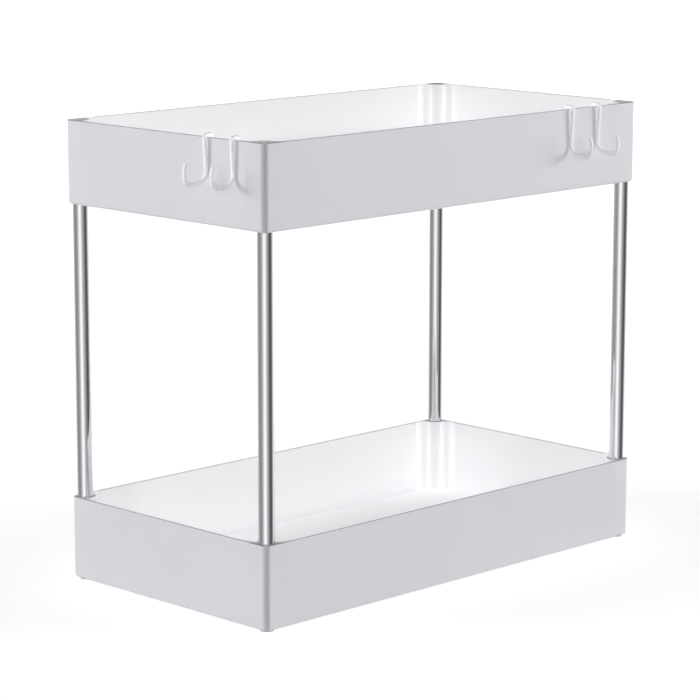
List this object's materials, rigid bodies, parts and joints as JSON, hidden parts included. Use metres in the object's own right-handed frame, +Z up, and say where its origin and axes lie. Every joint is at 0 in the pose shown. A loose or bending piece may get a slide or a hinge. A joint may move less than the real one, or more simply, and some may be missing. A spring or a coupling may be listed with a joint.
{
  "type": "under sink organizer",
  "caption": "Free-standing rack of shallow plain-walled trays, one above the other on thin round tubes, with wire hooks over the upper rim.",
  "frame": {"origin": "on the ground, under the middle of the rack without its hooks", "axes": "+Z up; X along the long side; the long front wall that carries two hooks faces -Y; the short wall that carries the other two faces -X"},
  "size_m": [0.4236, 0.2386, 0.3531],
  "materials": {
    "white_plastic": "smooth white moulding with a soft gloss",
    "steel_tube": "polished stainless steel",
    "hook_enamel": "white enamelled wire",
    "foot_rubber": "matte grey rubber"
  },
  "bodies": {
    "rack": {"lower_floor": "white_plastic", "lower_wall_front": "white_plastic", "lower_wall_back": "white_plastic", "lower_wall_left": "white_plastic", "lower_wall_right": "white_plastic", "lower_post_front_left": "white_plastic", "lower_post_front_right": "white_plastic", "lower_post_back_left": "white_plastic", "lower_post_back_right": "white_plastic", "upper_floor": "white_plastic", "upper_wall_front": "white_plastic", "upper_wall_back": "white_plastic", "upper_wall_left": "white_plastic", "upper_wall_right": "white_plastic", "upper_post_front_left": "white_plastic", "upper_post_front_right": "white_plastic", "upper_post_back_left": "white_plastic", "upper_post_back_right": "white_plastic", "tube_front_left": "steel_tube", "tube_front_right": "steel_tube", "tube_back_left": "steel_tube", "tube_back_right": "steel_tube", "foot_pad_front_left": "foot_rubber", "foot_pad_front_right": "foot_rubber", "foot_pad_back_left": "foot_rubber", "foot_pad_back_right": "foot_rubber"},
    "hook_side_near_wire": {"hook_side_near": "hook_enamel"},
    "hook_side_far_wire": {"hook_side_far": "hook_enamel"},
    "hook_front_far_wire": {"hook_front_far": "hook_enamel"},
    "hook_front_near_wire": {"hook_front_near": "hook_enamel"}
  },
  "joints": [
    {"name": "hook_side_near_slide", "type": "slide", "parent": "rack", "child": "hook_side_near_wire", "axis": [0, 1, 0], "range_m": [-0.0075, 0.0123]},
    {"name": "hook_side_far_slide", "type": "slide", "parent": "rack", "child": "hook_side_far_wire", "axis": [0, 1, 0], "range_m": [-0.0123, 0.134]},
    {"name": "hook_front_far_slide", "type": "slide", "parent": "rack", "child": "hook_front_far_wire", "axis": [1, 0, 0], "range_m": [-0.2985, 0.0138]},
    {"name": "hook_front_near_slide", "type": "slide", "parent": "rack", "child": "hook_front_near_wire", "axis": [1, 0, 0], "range_m": [-0.0138, 0.0255]}
  ]
}
